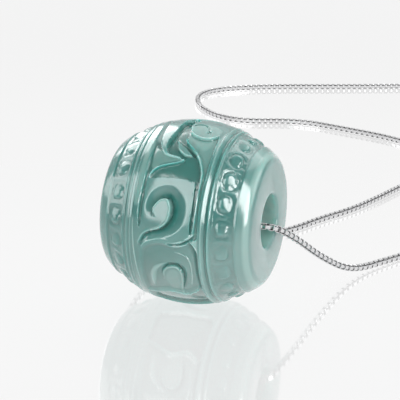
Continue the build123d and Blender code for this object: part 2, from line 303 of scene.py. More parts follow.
def held(value: np.ndarray) -> np.ndarray:
    """Returns numbers held between 0 and 1."""
    return np.clip(value, 0.0, 1.0)


def smooth_step(value: np.ndarray) -> np.ndarray:
    """Returns numbers eased from 0 to 1 with a level start and end, and held there outside them."""
    share = held(value)
    return share * share * (3.0 - 2.0 * share)


def nothing_selected() -> None:
    """Leaves object mode's selection empty, so that the next operator acts on new work alone."""
    if bpy.context.object and bpy.context.object.mode != "OBJECT":
        bpy.ops.object.mode_set(mode="OBJECT")
    bpy.ops.object.select_all(action="DESELECT")


def take_up(piece: bpy.types.Object) -> None:
    """Selects one piece alone and makes it the active one.

    Args:
        piece: The object to work on.
    """
    nothing_selected()
    piece.select_set(True)
    bpy.context.view_layer.objects.active = piece


def named(name: str) -> bpy.types.Object:
    """Names the active object and its mesh.

    Args:
        name: The piece's plain name.

    Returns:
        The object.
    """
    piece = bpy.context.object
    piece.name = name
    piece.data.name = name
    return piece


def settle(piece: bpy.types.Object) -> None:
    """Moves a piece's place, turn and size into its mesh."""
    take_up(piece)
    bpy.ops.object.transform_apply(location=True, rotation=True, scale=True)


def apply_modifiers(piece: bpy.types.Object) -> None:
    """Applies all the modifiers of a piece in their order.

    Args:
        piece: The object that carries them.
    """
    take_up(piece)
    for modifier in list(piece.modifiers):
        bpy.ops.object.modifier_apply(modifier=modifier.name)


def hand_over(piece: bpy.types.Object, node: str, material: bpy.types.Material) -> None:
    """Gives a finished piece its finish and its place in the frame.

    Args:
        piece: The finished object.
        node: The node of the frame that it stands for.
        material: The finish.
    """
    piece.data.materials.clear()
    piece.data.materials.append(material)
    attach(piece, BODY)
    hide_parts(node)
    LOG.info("%s: %d faces", piece.name, len(piece.data.polygons))


class NodeSheet:
    """A node tree, with short calls to add and join its nodes."""

    def __init__(self, tree: bpy.types.NodeTree) -> None:
        """Takes up a tree of nodes."""
        self.tree = tree

    def add(self, kind: str, **settings: object) -> bpy.types.Node:
        """Adds a node.

        Args:
            kind: The node's type without its ShaderNode prefix.
            **settings: Properties, or inputs where the name is that of a socket with _ for a space.

        Returns:
            The node.
        """
        node = self.tree.nodes.new("ShaderNode" + kind)
        for key, value in settings.items():
            if hasattr(node, key):
                setattr(node, key, value)
            else:
                node.inputs[key.replace("_", " ")].default_value = value
        return node

    def join(
        self, source: bpy.types.Node, out: str | int, target: bpy.types.Node, into: str | int
    ) -> None:
        """Joins one node's output, by name or number, to another's input."""
        self.tree.links.new(source.outputs[out], target.inputs[into])

    def slant(self, place: bpy.types.Node, out: str, direction: Place) -> bpy.types.Node:
        """Measures places along a direction.

        Args:
            place: The node that gives the places.
            out: The name of its output.
            direction: The direction along which they are measured.

        Returns:
            The measuring node.
        """
        measure = self.add("VectorMath", operation="DOT_PRODUCT")
        measure.inputs[1].default_value = direction
        self.join(place, out, measure, 0)
        return measure


class FinishSheet(NodeSheet):
    """A material's node tree round one shader."""

    def __init__(self, name: str) -> None:
        """Starts a material that has nothing but its shader.

        Args:
            name: The material's name.
        """
        self.material = bpy.data.materials.new(name)
        self.material.use_nodes = True
        super().__init__(self.material.node_tree)
        self.tree.nodes.clear()
        self.shader = self.add("BsdfPrincipled")
        self.join(self.shader, "BSDF", self.add("OutputMaterial"), "Surface")

    def set(self, **values: object) -> None:
        """Sets sockets of the shader itself, with _ for a space in a name."""
        for key, value in values.items():
            self.shader.inputs[key.replace("_", " ")].default_value = value

    def over(
        self, below: bpy.types.Node, colour: Colour, share: bpy.types.Node, out: str
    ) -> bpy.types.Node:
        """Lays a colour over another node's colour.

        Args:
            below: The node that gives the colour below.
            colour: The colour that is laid over it.
            share: The node that says how fully.
            out: The name of its output.

        Returns:
            The mixing node.
        """
        mix = self.add("MixRGB", Color2=colour)
        self.join(share, out, mix, "Fac")
        self.join(below, "Color", mix, "Color1")
        return mix


@dataclass(frozen=True)
class JadeFinish:
    """Polished translucent blue-green jade with soft clouds, painted shade in its cuts, painted highlights
    on its edges and painted light on its lower side.
    """

    pale: Colour = (0.092, 0.290, 0.264, 1.0)
    deep: Colour = (0.068, 0.240, 0.220, 1.0)
    # Painted shade: the colour laid into cuts and hollows, where shade falls.
    cut: Colour = (0.030, 0.205, 0.176, 1.0)
    # Painted highlight: the colour laid on crests, rims, lit faces, the shoulder and the bore.
    edge: Colour = (0.450, 0.680, 0.630, 1.0)
    # Painted light from below: laid on the lower side and the right end, where the table's glow falls.
    underlight: Colour = (0.300, 0.440, 0.420, 1.0)
    underlight_share: float = 0.40
    underlight_slant: Place = (-0.6, 0.0, 1.0)
    underlight_from: float = 4.5 * MM
    underlight_to: float = 8.0 * MM
    cloud_scale: float = 170.0
    cloud_from: float = 0.36
    cloud_to: float = 0.66
    ripple_scale: float = 420.0
    ripple_strength: float = 0.06
    ripple_height: float = 0.2 * MM
    scatter_reach: float = 1.4 * MM
    scatter_colour: Place = (0.45, 1.0, 0.95)
    polish: float = 0.15
    index: float = 1.66
    gloss: float = 1.0
    skin: float = 0.6
    skin_index: float = 1.55

    def build(self) -> bpy.types.Material:
        """Makes the jade from its clouds, its painted shade, highlights and light from below, and its skin.

        Returns:
            The material.
        """
        sheet = FinishSheet("polished_jade")
        place = sheet.add("TexCoord")
        clouds = sheet.add(
            "TexNoise", Scale=self.cloud_scale, Detail=4.0, Roughness=0.55, Distortion=0.6
        )
        sheet.join(place, "Object", clouds, "Vector")
        spread = sheet.add("MapRange", From_Min=self.cloud_from, From_Max=self.cloud_to)
        sheet.join(clouds, "Fac", spread, "Value")
        body = sheet.add("MixRGB", Color1=self.deep, Color2=self.pale)
        sheet.join(spread, "Result", body, "Fac")
        # Painted shade in the cuts, read from the carving.
        depth = sheet.add("Attribute", attribute_name="painted_cut_shade")
        sunk = sheet.over(body, self.cut, depth, "Fac")
        # Painted highlights and painted light, read from the carving.
        edge = sheet.add("Attribute", attribute_name="painted_light")
        with_highlights = sheet.over(sunk, self.edge, edge, "Fac")
        # Painted light, paler towards the bottom and the right end.
        lower = sheet.slant(place, "Object", self.underlight_slant)
        low = sheet.add("MapRange", From_Min=self.underlight_from, From_Max=self.underlight_to)
        low.inputs["To Min"].default_value = self.underlight_share
        low.inputs["To Max"].default_value = 0.0
        sheet.join(lower, "Value", low, "Value")
        underlit = sheet.over(with_highlights, self.underlight, low, "Result")
        sheet.join(underlit, "Color", sheet.shader, "Base Color")
        ripple = sheet.add("TexNoise", Scale=self.ripple_scale, Detail=2.0)
        sheet.join(place, "Object", ripple, "Vector")
        bump = sheet.add("Bump", Strength=self.ripple_strength, Distance=self.ripple_height)
        sheet.join(ripple, "Fac", bump, "Height")
        sheet.join(bump, "Normal", sheet.shader, "Normal")
        sheet.set(
            Roughness=self.polish,
            IOR=self.index,
            Specular_IOR_Level=self.gloss,
            Coat_Weight=self.skin,
            Coat_Roughness=self.polish,
            Coat_IOR=self.skin_index,
            Subsurface_Weight=1.0,
            Subsurface_Radius=self.scatter_colour,
            Subsurface_Scale=self.scatter_reach,
        )
        return sheet.material


@dataclass(frozen=True)
class SilverFinish:
    """Bright polished silver with fine drawing marks, with painted shade and tarnish where a link is
    hollow.
    """

    name: str
    tone: Colour = (0.90, 0.90, 0.91, 1.0)
    hollow_shade_tone: Colour = (0.09, 0.09, 0.09, 1.0)
    polish: float = 0.18
    polish_change: float = 0.4
    mark_scale: float = 9000.0
    metal: float = 0.9

    def build(self) -> bpy.types.Material:
        """Makes the silver.

        Returns:
            The material.
        """
        sheet = FinishSheet(self.name)
        place = sheet.add("TexCoord")
        marks = sheet.add("TexNoise", Scale=self.mark_scale, Detail=2.0)
        sheet.join(place, "Object", marks, "Vector")
        dullest = self.polish * (1 + self.polish_change)
        brightest = self.polish * (1 - self.polish_change)
        polish = sheet.add("MapRange", To_Min=brightest, To_Max=dullest)
        sheet.join(marks, "Fac", polish, "Value")
        sheet.join(polish, "Result", sheet.shader, "Roughness")
        # Painted shade and tarnish on the links' inner walls.
        hollow = sheet.add("Attribute", attribute_name="hollow_shade")
        shaded = sheet.add("MixRGB", Color1=self.tone, Color2=self.hollow_shade_tone)
        sheet.join(hollow, "Fac", shaded, "Fac")
        sheet.join(shaded, "Color", sheet.shader, "Base Color")
        sheet.set(Metallic=self.metal)
        return sheet.material


@dataclass(frozen=True)
class TableFinish:
    """The glossy white table top, lit softly from below."""

    tone: Colour = (0.17, 0.17, 0.17, 1.0)
    polish: float = 0.06
    index: float = 1.5
    lacquer: float = 0.7
    glow: float = 0.755

    def build(self) -> bpy.types.Material:
        """Makes the table's lacquer over its glow.

        Returns:
            The material.
        """
        sheet = FinishSheet("white_table")
        sheet.set(
            Base_Color=self.tone,
            Roughness=self.polish,
            IOR=self.index,
            Coat_Weight=self.lacquer,
            Coat_Roughness=self.polish,
            Emission_Color=(1.0, 1.0, 1.0, 1.0),
            Emission_Strength=self.glow,
        )
        return sheet.material


class CarvedLine:
    """A line laid on the unrolled side of the barrel, for measuring how far a point lies from it."""

    STEPS = 6
    BLOCK = 8000

    def __init__(self, rows: np.ndarray, girth_radius: float) -> None:
        """Lays the line out.

        Args:
            rows: Its chart: across in millimetres, angle in degrees, and any further numbers.
            girth_radius: The radius that turns angles into lengths, in millimetres.
        """
        self.middle_angle = (rows[:, 1].min() + rows[:, 1].max()) / 2
        flat = rows.copy()
        flat[:, 1] = np.radians(rows[:, 1] - self.middle_angle) * girth_radius
        self.points = self.smoothed(flat)

    def smoothed(self, rows: np.ndarray) -> np.ndarray:
        """Puts points along a curve that passes smoothly through each row.

        Args:
            rows: One row of numbers for each charted point.

        Returns:
            The denser rows.
        """
        ends = np.vstack([2 * rows[0] - rows[1], rows, 2 * rows[-1] - rows[-2]])
        dense = []
        for before, here, there, after in zip(ends, ends[1:], ends[2:], ends[3:]):
            for step in range(self.STEPS):
                t = step / self.STEPS
                line = 2 * here + (there - before) * t
                curve = (2 * before - 5 * here + 4 * there - after) * t**2
                swing = (3 * here - before - 3 * there + after) * t**3
                dense.append((line + curve + swing) / 2)
        dense.append(rows[-1])
        return np.array(dense)

    def within(self, across: np.ndarray, along: np.ndarray, reach: float) -> np.ndarray:
        """Marks the points that lie in the line's box, grown by a reach.

        Args:
            across: Places along the bore, in millimetres.
            along: Places round the barrel from the line's middle angle, in millimetres.
            reach: How far the box is grown, in millimetres.

        Returns:
            True for each point that lies in it.
        """
        low = self.points[:, :2].min(axis=0) - reach
        high = self.points[:, :2].max(axis=0) + reach
        return (across > low[0]) & (across < high[0]) & (along > low[1]) & (along < high[1])

    def encloses(self, across: np.ndarray, along: np.ndarray) -> np.ndarray:
        """Marks the points that lie inside the line, where it is a closed outline.

        Args:
            across: Places along the bore, in millimetres.
            along: Places round the barrel from the line's middle angle, in millimetres.

        Returns:
            True for each point that lies inside.
        """
        inside = np.zeros(len(across), dtype=bool)
        for start, end in zip(self.points, self.points[1:]):
            crosses = (start[1] > along) != (end[1] > along)
            rise = end[1] - start[1] if end[1] != start[1] else 1.0
            reach = start[0] + (along - start[1]) / rise * (end[0] - start[0])
            inside ^= crosses & (across < reach)
        return inside

    def measure(self, across: np.ndarray, along: np.ndarray) -> tuple[np.ndarray, ...]:
        """Measures points against the line.

        Args:
            across: Places along the bore, in millimetres.
            along: Places round the barrel from the line's middle angle, in millimetres.

        Returns:
            Distance, which side (1 left, -1 right), and the line's further numbers there.
        """
        if len(across) > self.BLOCK:
            first = self.measure(across[:self.BLOCK], along[:self.BLOCK])
            rest = self.measure(across[self.BLOCK:], along[self.BLOCK:])
            return tuple(np.concatenate(pair) for pair in zip(first, rest))
        start = self.points[:-1]
        run = self.points[1:] - start
        length_squared = run[:, 0] ** 2 + run[:, 1] ** 2
        dx = across[:, None] - start[None, :, 0]
        dy = along[:, None] - start[None, :, 1]
        share = held((dx * run[:, 0] + dy * run[:, 1]) / length_squared)
        gap_x = dx - share * run[:, 0]
        gap_y = dy - share * run[:, 1]
        gap = np.hypot(gap_x, gap_y)
        nearest = gap.argmin(axis=1)
        pick = (np.arange(len(across)), nearest)
        side = np.sign(run[nearest, 0] * gap_y[pick] - run[nearest, 1] * gap_x[pick])
        further = start[nearest, 2:] + share[pick][:, None] * run[nearest, 2:]
        return gap[pick], side, *further.T


@dataclass(frozen=True)
class BarrelForm:
    """The bead's uncut form, with the places of its bands."""

    half_length: float
    belly_radius: float
    crown_radius: float = 11.5
    bore_radius: float = 2.6
    lip_round: float = 0.3
    end_round: float = 1.0
    cloud_half_band: float = 3.25
    ridge_width: float = 0.3
    ridge_groove: float = 0.5
    pearl_band: float = 2.06
    units_round: int = 2

    def crown(self, along: np.ndarray | float) -> np.ndarray | float:
        """Returns the radius of the uncut side at places along the bore."""
        return self.belly_radius - self.crown_radius + np.sqrt(self.crown_radius**2 - along**2)

    def ridge_end(self) -> float:
        """Returns where the ridges end and a pearl band starts, measured from the middle."""
        return self.cloud_half_band + 2 * self.ridge_width + self.ridge_groove

    def unit_place(self, angle: np.ndarray, middle: float) -> np.ndarray:
        """Turns angles into lengths round the belly, measured from a unit's nearest middle.

        Args:
            angle: Angles round the bore, in degrees.
            middle: The middle angle of a charted form, in degrees.

        Returns:
            Millimetres round the belly from the nearest copy of that middle.
        """
        unit = 360.0 / self.units_round
        near = (angle - middle + unit / 2) % unit - unit / 2
        return np.radians(near) * self.belly_radius

    def side_stations(self) -> list[float]:
        """Sets out places along the side, closest where the carving is finest.

        Returns:
            Places from the middle to where the end's rounding begins.
        """
        pearl_start = self.ridge_end()
        pearl_end = pearl_start + self.pearl_band
        shoulder_end = self.half_length - 0.5 * self.end_round
        spans = (
            (0.0, self.cloud_half_band, 56),
            (self.cloud_half_band, pearl_start, 26),
            (pearl_start, pearl_end, 28),
            (pearl_end, shoulder_end, 6),
        )
        places = []
        for start, end, steps in spans:
            places += [start + (end - start) * step / steps for step in range(steps)]
        return places + [shoulder_end]

    def half_profile(self) -> list[tuple[float, float]]:
        """Draws half the profile, from the belly round the end and lip into the bore.

        Returns:
            Points (along, radius), the last one a step short of the middle of the bore.
        """
        outline = [(place, self.crown(place)) for place in self.side_stations()]
        side_end, side_radius = outline[-1]
        tilt = math.asin(side_end / self.crown_radius)
        radius = (self.half_length - side_end) / (1 - math.sin(tilt))
        centre = (self.half_length - radius, side_radius - radius * math.cos(tilt))
        round_steps = 6
        for step in range(1, round_steps + 1):
            angle = tilt + (math.pi / 2 - tilt) * step / round_steps
            outline.append((centre[0] + radius * math.sin(angle), centre[1] + radius * math.cos(angle)))
        lip_top = self.bore_radius + self.lip_round
        face_steps = 3
        for step in range(1, face_steps):
            outline.append((self.half_length, centre[1] + (lip_top - centre[1]) * step / face_steps))
        lip_steps = 4
        for step in range(lip_steps + 1):
            angle = math.pi / 2 * step / lip_steps
            inward = self.lip_round * (1 - math.cos(angle))
            outward = self.lip_round * (1 - math.sin(angle))
            outline.append((self.half_length - inward, self.bore_radius + outward))
        bore_steps = 4
        bore_end = outline[-1][0]
        for step in range(1, bore_steps):
            outline.append((bore_end * (1 - step / bore_steps), self.bore_radius))
        return outline


@dataclass(frozen=True)
class CloudRelief:
    """The carved band of clouds and leaves, charted once and repeated round the bead."""

    form: BarrelForm
    margin: float = 0.3
    steep_wall: float = 0.15
    slope_power: float = 1.15
    rim_offset: float = 0.06
    rim_spread: float = 0.08
    rim_full_depth: float = 0.4
    pale_height: float = 0.08
    band_fade: float = 0.16

    def level_share(self, level: Level, along: np.ndarray, angle: np.ndarray) -> np.ndarray:
        """Says how fully each point of the side lies on a level.

        Args:
            level: The charted level.
            along: Places along the bore, in millimetres.
            angle: Angles round the bore, in degrees.

        Returns:
            Shares from 0 outside the level to 1 on its floor.
        """
        line = CarvedLine(np.array(level.rows + level.rows[:1]), self.form.belly_radius)
        place = self.form.unit_place(angle, line.middle_angle)
        near = line.within(along, place, self.margin)
        gap = line.measure(along[near], place[near])[0]
        inside = line.encloses(along[near], place[near])
        share = np.zeros(len(along))
        share[near] = np.where(inside, smooth_step(gap / level.wall), 0.0)
        return share

    def stroke_cut(
        self, stroke: Stroke, along: np.ndarray, angle: np.ndarray
    ) -> tuple[np.ndarray, np.ndarray]:
        """Works out a stroke's cut, and its rim or crest, at points of the side.

        Args:
            stroke: The charted stroke.
            along: Places along the bore, in millimetres.
            angle: Angles round the bore, in degrees.

        Returns:
            The depth and the rise, in millimetres.
        """
        rows = np.array(stroke.rows)
        line = CarvedLine(rows, self.form.belly_radius)
        place = self.form.unit_place(angle, line.middle_angle)
        near = line.within(along, place, rows[:, 2].max() + self.margin)
        gap, side, width, depth = line.measure(along[near], place[near])
        sunk = np.zeros(len(along))
        risen = np.zeros(len(along))
        if stroke.section is Section.SLANTED:
            gentle = side * stroke.side.value > 0
            slope = held(1 - gap / width) ** self.slope_power
            wall = 1 - smooth_step(gap / self.steep_wall)
            past_rim = (gap - self.steep_wall - self.rim_offset) / self.rim_spread
            rim = np.exp(-(past_rim**2)) * held(depth / self.rim_full_depth)
            sunk[near] = depth * np.where(gentle, slope, wall)
            risen[near] = np.where(gentle, 0.0, stroke.lip * rim)
        elif stroke.section is Section.ROUND:
            sunk[near] = depth * (1 - smooth_step(2 * gap / width))
        else:
            risen[near] = depth * (1 - smooth_step(2 * gap / width))
        return sunk, risen

    def cut(self, along: np.ndarray, angle: np.ndarray) -> tuple[np.ndarray, ...]:
        """Carves all the forms in their order.

        Args:
            along: Places along the bore, in millimetres.
            angle: Angles round the bore, in degrees.

        Returns:
            Depth and rise in millimetres, then the shares of painted light and painted shade.
        """
        sunk, risen, paler, darker, crests = np.zeros((5, len(along)))
        for form in FORMS:
            if isinstance(form, Level):
                share = self.level_share(form, along, angle)
                sunk = sunk + (form.depth - sunk) * share
                paler = np.maximum(paler, form.light * share)
                darker = np.maximum(darker, form.dark * share)
            else:
                depth, rise = self.stroke_cut(form, along, angle)
                sunk = np.maximum(sunk, depth)
                risen = np.maximum(risen, rise)
                # Painted highlight along the crests of raised strokes.
                crests = np.maximum(crests, form.light * held(rise / self.pale_height))
        fade = smooth_step((self.form.cloud_half_band - np.abs(along)) / self.band_fade + 0.5)
        return sunk * fade, risen * fade, paler + crests * fade, darker


@dataclass(frozen=True)
class RidgeLines:
    """The fine ridges beside the cloud band; over one stretch of each unit the left ones are flat."""

    form: BarrelForm
    flat_angle: float = 78.0
    flat_reach: float = 5.4
    flat_run: float = 1.6
    flat_edge: float = 3.64
    flat_edge_run: float = 0.06

    def depths(self, along: np.ndarray, angle: np.ndarray) -> np.ndarray:
        """Works out the depth over the ridges.

        Args:
            along: Places along the bore, in millimetres.
            angle: Angles round the bore, in degrees.

        Returns:
            Depths in millimetres, below zero where a crest rises.
        """
        right = np.interp(along, *np.array(RIGHT_RIDGES).T, left=0.0)
        left = np.interp(-along, *np.array(LEFT_RIDGES).T, left=0.0)
        from_middle = np.abs(self.form.unit_place(angle, self.flat_angle))
        flat = smooth_step((self.flat_reach - from_middle) / self.flat_run)
        flat *= smooth_step((along + self.flat_edge) / self.flat_edge_run)
        return right + left * (1 - flat)


@dataclass(frozen=True)
class PearlBands:
    """The two sunken bands, each with a ring of hand-cut pearls that lean and differ a little."""

    form: BarrelForm
    pearls_round: int = 20
    radius: float = 0.80
    squash: float = 1.36
    top: float = 0.06
    lean: float = 0.20
    dome_power: int = 4
    squareness: float = 2.5
    squareness_change: float = 0.5
    size_change: float = 0.05
    size_pace: float = 1.7
    right_pace: float = 0.9
    left_start: float = 1.6
    left_pace: float = 0.5
    ring_radius: float = 1.00
    ring_depth: float = 0.20
    ring_lead: float = 0.10
    ring_run: float = 0.24
    rim_radius: float = 1.15
    rim_depth: float = 0.16
    rim_run: float = 0.16
    corner_depth: float = 0.14
    inner_wall: float = 0.26
    outer_wall: float = 0.14

    def depths(self, along: np.ndarray, angle: np.ndarray) -> np.ndarray:
        """Works out the depth of the bands and the pearls in them.

        Args:
            along: Places along the bore, in millimetres.
            angle: Angles round the bore, in degrees.

        Returns:
            Depths in millimetres.
        """
        reach = np.abs(along)
        start = self.form.ridge_end()
        end = start + self.form.pearl_band
        band = smooth_step((reach - start) / self.inner_wall) * smooth_step((end - reach) / self.outer_wall)
        pitch = 360.0 / self.pearls_round
        number = np.floor(angle / pitch)
        aside = reach - (start + end) / 2
        lift = np.radians(angle % pitch - pitch / 2) * self.form.crown(reach)
        right_turn = self.right_pace * (1.0 - number)
        left_turn = self.left_start + self.left_pace * number
        turn = np.where(along > 0, right_turn, left_turn)
        power = self.squareness + self.squareness_change * np.sin(turn)
        gap = (np.abs(aside * self.squash) ** power + np.abs(lift) ** power) ** (1 / power)
        gap *= 1 + self.size_change * np.sin(self.size_pace * turn)
        dome = held(1 - (gap / self.radius) ** self.dome_power)
        lean = self.lean * (np.cos(turn) * aside + np.sin(turn) * lift)
        pearl = self.ring_depth - (self.ring_depth - self.top - lean) * dome
        rise = smooth_step((gap - self.ring_radius + self.ring_lead) / self.ring_run)
        fall = smooth_step((gap - self.rim_radius) / self.rim_run)
        floor = self.ring_depth + (self.rim_depth - self.ring_depth) * rise
        floor += (self.corner_depth - self.rim_depth) * fall
        return band * np.where(gap < self.radius, pearl, floor)


@dataclass(frozen=True)
class ToolWave:
    """Low ripples that hand tools leave along and round the bead, each swaying with the other."""

    height: float
    along_pace: float
    along_sway: float
    along_sway_pace: float
    round_pace: float
    round_sway: float
    round_sway_pace: float

    def heights(self, along: np.ndarray, turn: np.ndarray) -> np.ndarray:
        """Works out the wave.

        Args:
            along: Places along the bore, in millimetres.
            turn: Angles round the bore, in radians.

        Returns:
            Heights in millimetres.
        """
        lengthwise = self.along_pace * along + self.along_sway * np.sin(self.along_sway_pace * turn)
        roundwise = self.round_pace * turn + self.round_sway * np.sin(self.round_sway_pace * along)
        return self.height * np.sin(lengthwise) * np.sin(roundwise)


TOOL_WAVES = (
    ToolWave(
        height=0.012, along_pace=3.1, along_sway=1.4, along_sway_pace=19.0,
        round_pace=31.0, round_sway=1.2, round_sway_pace=2.3,
    ),
    ToolWave(
        height=0.006, along_pace=6.7, along_sway=1.9, along_sway_pace=37.0,
        round_pace=67.0, round_sway=1.5, round_sway_pace=4.1,
    ),
)


@dataclass(frozen=True)
class PaintedShading:
    """Painted shade in the cuts and painted light on edges, shoulder and bore, as shares of those colours.
    """

    form: BarrelForm
    # Painted shade in the cuts grows with their depth.
    dark_from: float = 0.16
    dark_run: float = 0.36
    band_share: float = 0.3
    band_depth: float = 0.42
    crest_height: float = 0.06
    light_paint_share: float = 0.35
    # Painted light inside the bore.
    bore_light: float = 2.9
    bore_margin: float = 0.02
    # Painted highlight along the end's shoulder.
    shoulder_light: float = 1.3
    shoulder_start: float = 6.42
    shoulder_first: float = 0.4
    shoulder_first_run: float = 0.10
    shoulder_second: float = 6.88
    shoulder_second_run: float = 0.25
    shoulder_end: float = 7.56
    shoulder_end_run: float = 0.15

    def dark(self, clouds: np.ndarray, darker: np.ndarray, bands: np.ndarray) -> np.ndarray:
        """Returns the share of painted shade, from the clouds' depths, the forms' painted shade and the
        bands' depths.
        """
        sunk = np.maximum(smooth_step((clouds - self.dark_from) / self.dark_run), darker)
        return sunk + self.band_share * held(bands / self.band_depth)

    def painted_side_light(self, paler: np.ndarray, ridges: np.ndarray) -> np.ndarray:
        """Returns the share of painted light on the side, where the forms say so and on the ridges' crests.
        """
        return self.light_paint_share * (paler + held(-ridges / self.crest_height))

    def painted_end_light(self, along: np.ndarray, radius: np.ndarray, pale: np.ndarray) -> np.ndarray:
        """Adds the painted highlight on the shoulder of the end that the camera sees, and painted light in
        the bore.

        Args:
            along: Places along the bore, in millimetres.
            radius: Distances from the bore's middle line, in millimetres.
            pale: Shares of painted light so far.

        Returns:
            The shares with those of the shoulder and bore.
        """
        first = smooth_step((along - self.shoulder_start) / self.shoulder_first_run)
        second = smooth_step((along - self.shoulder_second) / self.shoulder_second_run)
        end = smooth_step((self.shoulder_end - along) / self.shoulder_end_run)
        shoulder = self.shoulder_light * (self.shoulder_first * first + second) * end
        pale = pale + self.light_paint_share * shoulder
        in_bore = radius < self.form.bore_radius + self.bore_margin
        return np.where(in_bore, self.light_paint_share * self.bore_light, pale)


@dataclass
class JadeBarrel:
    """The carved bead: a turned barrel whose side is then cut in relief."""

    node: str = "jade_barrel"
    turns: int = 860
    face_limit: int = 198_000
    weld: float = 0.002 * MM
    smooth_angle: float = 24.0
    side_slack: float = 0.01
    mark_full_pearl: float = 0.08
    mark_full_cloud: float = 0.2
    cloud_mark_share: float = 0.2

    def __post_init__(self) -> None:
        """Reads the bead's length and belly from the frame, and sets out its bands."""
        low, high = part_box(self.node)
        self.axis_height = (high[2] + low[2]) / 2 / MM
        self.form = BarrelForm((high[0] - low[0]) / 2 / MM, (high[2] - low[2]) / 2 / MM)

    def turn_blank(self) -> bpy.types.Object:
        """Draws the profile by extruding a point and turns it about the bore.

        Returns:
            The turned blank.
        """
        half = self.form.half_profile()
        far_half = [(-along, radius) for along, radius in reversed(half[1:])]
        outline = half + [(0.0, self.form.bore_radius)] + far_half
        nothing_selected()
        first = Vector((outline[0][0], 0.0, outline[0][1])) * MM
        bpy.ops.mesh.primitive_plane_add(size=MM, location=first)
        barrel = named("jade_barrel_carved")
        bpy.ops.object.transform_apply(location=True)
        bpy.ops.object.mode_set(mode="EDIT")
        bpy.ops.mesh.select_all(action="SELECT")
        bpy.ops.mesh.merge(type="CENTER")
        for before, here in zip(outline, outline[1:] + outline[:1]):
            move = ((here[0] - before[0]) * MM, 0.0, (here[1] - before[1]) * MM)
            bpy.ops.mesh.extrude_region_move(TRANSFORM_OT_translate={"value": move})
        bpy.ops.mesh.select_all(action="SELECT")
        bpy.ops.mesh.remove_doubles(threshold=self.weld / 2)
        bpy.ops.object.mode_set(mode="OBJECT")
        turn = barrel.modifiers.new("turn", "SCREW")
        turn.axis = "X"
        turn.steps = self.turns
        turn.render_steps = self.turns
        turn.use_merge_vertices = True
        turn.merge_threshold = self.weld
        apply_modifiers(barrel)
        barrel.location.z = self.axis_height * MM
        settle(barrel)
        bpy.ops.object.mode_set(mode="EDIT")
        bpy.ops.mesh.select_all(action="SELECT")
        bpy.ops.mesh.remove_doubles(threshold=self.weld)
        bpy.ops.mesh.normals_make_consistent(inside=False)
        bpy.ops.object.mode_set(mode="OBJECT")
        return barrel

    def relief(self, along: np.ndarray, angle: np.ndarray) -> tuple[np.ndarray, ...]:
        """Works out the carving at points of the side.

        Args:
            along: Places along the bore, in millimetres.
            angle: Angles round the bore, in degrees.

        Returns:
            The depth in millimetres, then the shares of painted shade and of painted light.
        """
        clouds, rims, paler, darker = CloudRelief(self.form).cut(along, angle)
        pearls = PearlBands(self.form).depths(along, angle)
        ridges = RidgeLines(self.form).depths(along, angle)
        marked = held(pearls / self.mark_full_pearl)
        marked += self.cloud_mark_share * held(clouds / self.mark_full_cloud)
        marks = sum(wave.heights(along, np.radians(angle)) for wave in TOOL_WAVES)
        depth = clouds - rims + pearls + ridges + marked * marks
        shade = PaintedShading(self.form)
        return depth, shade.dark(clouds, darker, pearls + ridges), shade.painted_side_light(paler, ridges)

    def carve(self, barrel: bpy.types.Object) -> None:
        """Moves the side's points in along the side's own normal by the depth of the relief.

        Args:
            barrel: The turned blank.
        """
        mesh = barrel.data
        places = np.empty(len(mesh.vertices) * 3)
        mesh.vertices.foreach_get("co", places)
        places = places.reshape(-1, 3) / MM
        along = places[:, 0]
        height = places[:, 2] - self.axis_height
        radius = np.hypot(places[:, 1], height)
        angle = np.degrees(np.arctan2(height, -places[:, 1]))
        side = np.abs(radius - self.form.crown(along)) < self.side_slack
        depth, dark, pale = np.zeros((3, len(along)))
        depth[side], dark[side], pale[side] = self.relief(along[side], angle[side])
        pale = PaintedShading(self.form).painted_end_light(along, radius, pale)
        lean = along / self.form.crown_radius
        upright = np.sqrt(1 - lean**2)
        places[:, 0] -= depth * lean
        places[:, 1] -= depth * upright * places[:, 1] / radius
        places[:, 2] -= depth * upright * height / radius
        mesh.vertices.foreach_set("co", (places * MM).ravel())
        # These carry painted shade and painted light into the jade's colour.
        mesh.attributes.new("painted_cut_shade", "FLOAT", "POINT").data.foreach_set("value", dark)
        mesh.attributes.new("painted_light", "FLOAT", "POINT").data.foreach_set("value", pale)
        mesh.update()

    def build(self) -> bpy.types.Object:
        """Turns, carves and polishes the bead.

        Returns:
            The finished bead.
        """
        barrel = self.turn_blank()
        self.carve(barrel)
        triangles = sum(len(polygon.vertices) - 2 for polygon in barrel.data.polygons)
        if triangles > self.face_limit:
            thin = barrel.modifiers.new("thin", "DECIMATE")
            thin.ratio = self.face_limit / triangles
            apply_modifiers(barrel)
        take_up(barrel)
        bpy.ops.object.shade_smooth_by_angle(angle=math.radians(self.smooth_angle))
        hand_over(barrel, self.node, JadeFinish().build())
        return barrel


